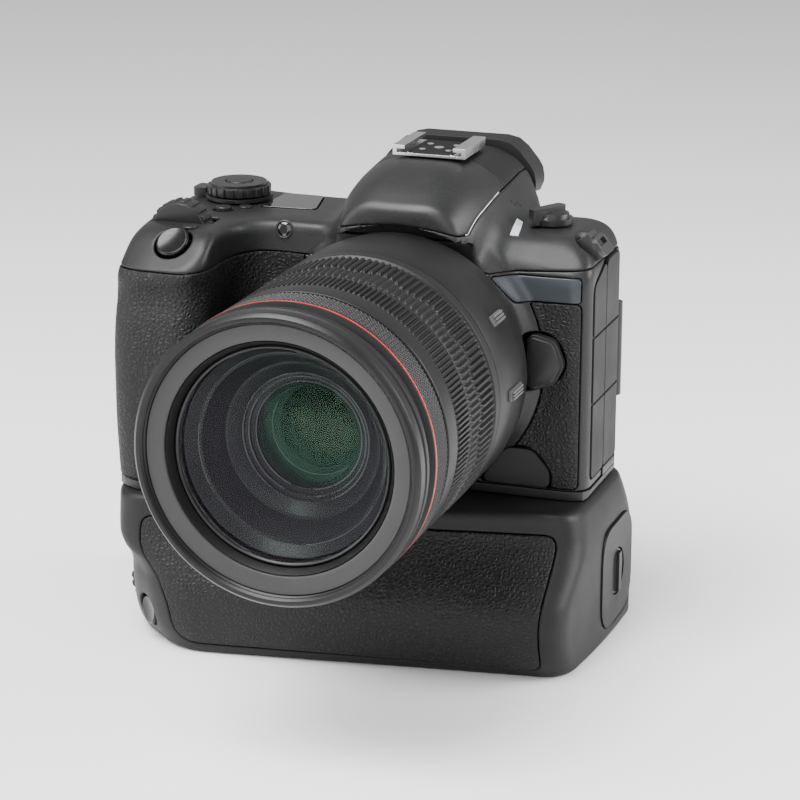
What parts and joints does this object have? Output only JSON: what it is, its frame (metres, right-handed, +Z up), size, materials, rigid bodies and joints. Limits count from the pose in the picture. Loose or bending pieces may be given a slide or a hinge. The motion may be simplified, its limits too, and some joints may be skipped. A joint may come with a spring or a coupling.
{
  "type": "mirrorless camera with zoom lens and vertical grip",
  "caption": "Interchangeable-lens camera with a viewfinder hump, standard zoom lens with ribbed rings and a screwed-on vertical battery grip.",
  "frame": {"origin": "on the grip's flat base, under the optical axis, in the image sensor's plane", "axes": "+Z up, -Y the way the lens looks, +X towards the connector covers"},
  "size_m": [0.1508, 0.1708, 0.1497],
  "materials": {
    "satin_paint": "satin, finely speckled black",
    "matte_housing": "matte black",
    "rubber_grip": "pebbled soft black covering",
    "lens_paint": "fine matte black",
    "ribbed_rubber": "moulded ribs",
    "knurled_ring": "diamond knurl",
    "name_ring": "matte dark grey",
    "red_ring": "satin red",
    "lens_glass": "coated optical glass",
    "eyepiece_glass": "coated glass",
    "alloy": "brushed silver",
    "black_metal": "black",
    "gloss_button": "polished black",
    "control_plastic": "satin black",
    "cover_rubber": "soft black",
    "switch_grey": "dark satin",
    "display_glass": "glossy window",
    "badge": "slate, slightly metallic"
  },
  "bodies": {
    "root": {"front_cover": "satin_paint", "top_cover": "satin_paint", "hump_cover": "satin_paint", "evf_housing": "matte_housing", "rear_cover": "satin_paint", "bottom_plate": "satin_paint", "chassis": "alloy", "image_sensor": "eyepiece_glass", "mount_ring": "alloy", "grip_leather": "rubber_grip", "side_leather": "rubber_grip", "badge_plate": "badge", "hot_shoe": "alloy", "eyecup": "rubber_grip", "eyepiece_lens": "eyepiece_glass", "top_display_window": "display_glass", "strap_lug_left": "alloy", "strap_lug_right": "black_metal", "vgrip_housing": "satin_paint", "vgrip_leather": "rubber_grip", "lens_barrel": "lens_paint", "lens_band": "lens_paint", "lens_mount": "alloy", "rear_element": "lens_glass"},
    "zoom": {"zoom_ring": "ribbed_rubber"},
    "front_group": {"front_barrel": "lens_paint", "front_bezel": "lens_paint", "red_ring": "red_ring", "name_ring": "name_ring", "front_element": "lens_glass", "inner_element": "lens_glass"},
    "focus": {"focus_ring": "ribbed_rubber"},
    "control": {"control_ring": "knurled_ring"},
    "focus_mode_switch": {"focus_mode_switch": "switch_grey"},
    "stabilizer_switch": {"stabilizer_switch": "switch_grey"},
    "release_button": {"release_button": "control_plastic"},
    "shutter_button": {"shutter_button": "gloss_button"},
    "main_dial": {"main_dial": "control_plastic"},
    "top_dial": {"top_dial": "control_plastic"},
    "mode_button": {"mode_button": "control_plastic"},
    "power_lever": {"power_lever": "control_plastic"},
    "record_button": {"record_button": "control_plastic"},
    "stills_movie_lever": {"stills_movie_lever": "control_plastic"},
    "joystick": {"joystick": "cover_rubber"},
    "rear_dial": {"rear_dial": "control_plastic"},
    "set_button": {"set_button": "control_plastic"},
    "af_on_button": {"af_on_button": "control_plastic"},
    "menu_button": {"menu_button": "control_plastic"},
    "monitor": {"monitor_arm": "control_plastic", "monitor_case": "control_plastic", "monitor_glass": "display_glass"},
    "port_cover_front": {"port_cover_front": "cover_rubber"},
    "port_cover_rear": {"port_cover_rear": "cover_rubber"},
    "remote_cover": {"remote_cover": "cover_rubber"},
    "card_door": {"card_door": "satin_paint"},
    "magazine": {"battery_magazine": "matte_housing"},
    "magazine_latch": {"magazine_latch": "control_plastic"},
    "vgrip_shutter_button": {"vgrip_shutter_button": "gloss_button"},
    "vgrip_dial": {"vgrip_dial": "control_plastic"}
  },
  "joints": [
    {"name": "zoom_turn", "type": "hinge", "parent": "root", "child": "zoom", "pos_m": [0, -0.07, 0.0892], "axis": [0, 1, 0], "range_deg": [0, 75]},
    {"name": "front_extend", "type": "slide", "parent": "root", "child": "front_group", "axis": [0, -1, 0], "range_m": [0, 0.044]},
    {"name": "focus_turn", "type": "hinge", "parent": "root", "child": "focus", "pos_m": [0, -0.07, 0.0892], "axis": [0, 1, 0], "continuous": true},
    {"name": "control_turn", "type": "hinge", "parent": "root", "child": "control", "pos_m": [0, -0.07, 0.0892], "axis": [0, 1, 0], "continuous": true},
    {"name": "focus_mode_slide", "type": "slide", "parent": "root", "child": "focus_mode_switch", "axis": [-0.5299, 0, 0.848], "range_m": [0, 0.0012]},
    {"name": "stabilizer_slide", "type": "slide", "parent": "root", "child": "stabilizer_switch", "axis": [-0.0175, 0, 0.9998], "range_m": [0, 0.0012]},
    {"name": "release_push", "type": "slide", "parent": "root", "child": "release_button", "axis": [0, 1, 0], "range_m": [0, 0.0012], "stiffness_N_per_m": 400},
    {"name": "shutter_push", "type": "slide", "parent": "root", "child": "shutter_button", "axis": [0.0995, 0.6528, -0.751], "range_m": [0, 0.001], "stiffness_N_per_m": 400},
    {"name": "main_dial_turn", "type": "hinge", "parent": "root", "child": "main_dial", "pos_m": [-0.071, -0.0215, 0.1238], "axis": [0, 1, 0], "continuous": true},
    {"name": "top_dial_turn", "type": "hinge", "parent": "root", "child": "top_dial", "pos_m": [-0.065, 0.009, 0.1305], "axis": [0, 0, 1], "continuous": true},
    {"name": "mode_push", "type": "slide", "parent": "root", "child": "mode_button", "axis": [0, 0, -1], "range_m": [0, 0.0006], "stiffness_N_per_m": 400},
    {"name": "power_turn", "type": "hinge", "parent": "root", "child": "power_lever", "pos_m": [-0.065, 0.009, 0.1285], "axis": [0, 0, 1], "range_deg": [0, 40]},
    {"name": "record_push", "type": "slide", "parent": "root", "child": "record_button", "axis": [0, 0, -1], "range_m": [0, 0.0006], "stiffness_N_per_m": 400},
    {"name": "stills_movie_turn", "type": "hinge", "parent": "root", "child": "stills_movie_lever", "pos_m": [0.037, 0.009, 0.1295], "axis": [0, 0, 1], "range_deg": [-25, 25]},
    {"name": "joystick_tilt", "type": "hinge", "parent": "root", "child": "joystick", "pos_m": [-0.044, 0.0228, 0.1085], "axis": [1, 0, 0], "range_deg": [-6, 6], "stiffness_Nm_per_rad": 0.15},
    {"name": "rear_dial_turn", "type": "hinge", "parent": "root", "child": "rear_dial", "pos_m": [-0.054, 0.025, 0.0785], "axis": [0, 1, 0], "continuous": true},
    {"name": "set_push", "type": "slide", "parent": "root", "child": "set_button", "axis": [0, -1, 0], "range_m": [0, 0.0006], "stiffness_N_per_m": 400},
    {"name": "af_on_push", "type": "slide", "parent": "root", "child": "af_on_button", "axis": [0, -1, 0], "range_m": [0, 0.0008], "stiffness_N_per_m": 400},
    {"name": "menu_push", "type": "slide", "parent": "root", "child": "menu_button", "axis": [0, -1, 0], "range_m": [0, 0.0008], "stiffness_N_per_m": 400},
    {"name": "monitor_open", "type": "hinge", "parent": "root", "child": "monitor", "pos_m": [0.053, 0.0254, 0.0855], "axis": [0, 0, -1], "range_deg": [0, 175]},
    {"name": "port_front_open", "type": "hinge", "parent": "root", "child": "port_cover_front", "pos_m": [0.0559, -0.0085, 0.0845], "axis": [0, 0, -1], "range_deg": [0, 110]},
    {"name": "port_rear_open", "type": "hinge", "parent": "root", "child": "port_cover_rear", "pos_m": [0.0559, 0.019, 0.0845], "axis": [0, 0, 1], "range_deg": [0, 95]},
    {"name": "remote_open", "type": "hinge", "parent": "root", "child": "remote_cover", "pos_m": [0.034, -0.0154, 0.0515], "axis": [1, 0, 0], "range_deg": [0, 95]},
    {"name": "card_door_open", "type": "hinge", "parent": "root", "child": "card_door", "pos_m": [-0.0841, 0.017, 0.0825], "axis": [0, 0, -1], "range_deg": [0, 95]},
    {"name": "magazine_slide", "type": "slide", "parent": "root", "child": "magazine", "axis": [1, 0, 0], "range_m": [0, 0.09]},
    {"name": "latch_turn", "type": "hinge", "parent": "magazine", "child": "magazine_latch", "pos_m": [0.0607, 0.006, 0.0195], "axis": [1, 0, 0], "range_deg": [0, 90]},
    {"name": "vgrip_shutter_push", "type": "slide", "parent": "root", "child": "vgrip_shutter_button", "axis": [0.65, 0.76, 0], "range_m": [0, 0.0008], "stiffness_N_per_m": 400},
    {"name": "vgrip_dial_turn", "type": "hinge", "parent": "root", "child": "vgrip_dial", "pos_m": [-0.076, -0.0324, 0.0136], "axis": [0, 1, 0], "continuous": true}
  ],
  "couplings": [
    {"joint": "front_extend", "follows": "zoom_turn", "m_per_rad": 0.0336}
  ]
}
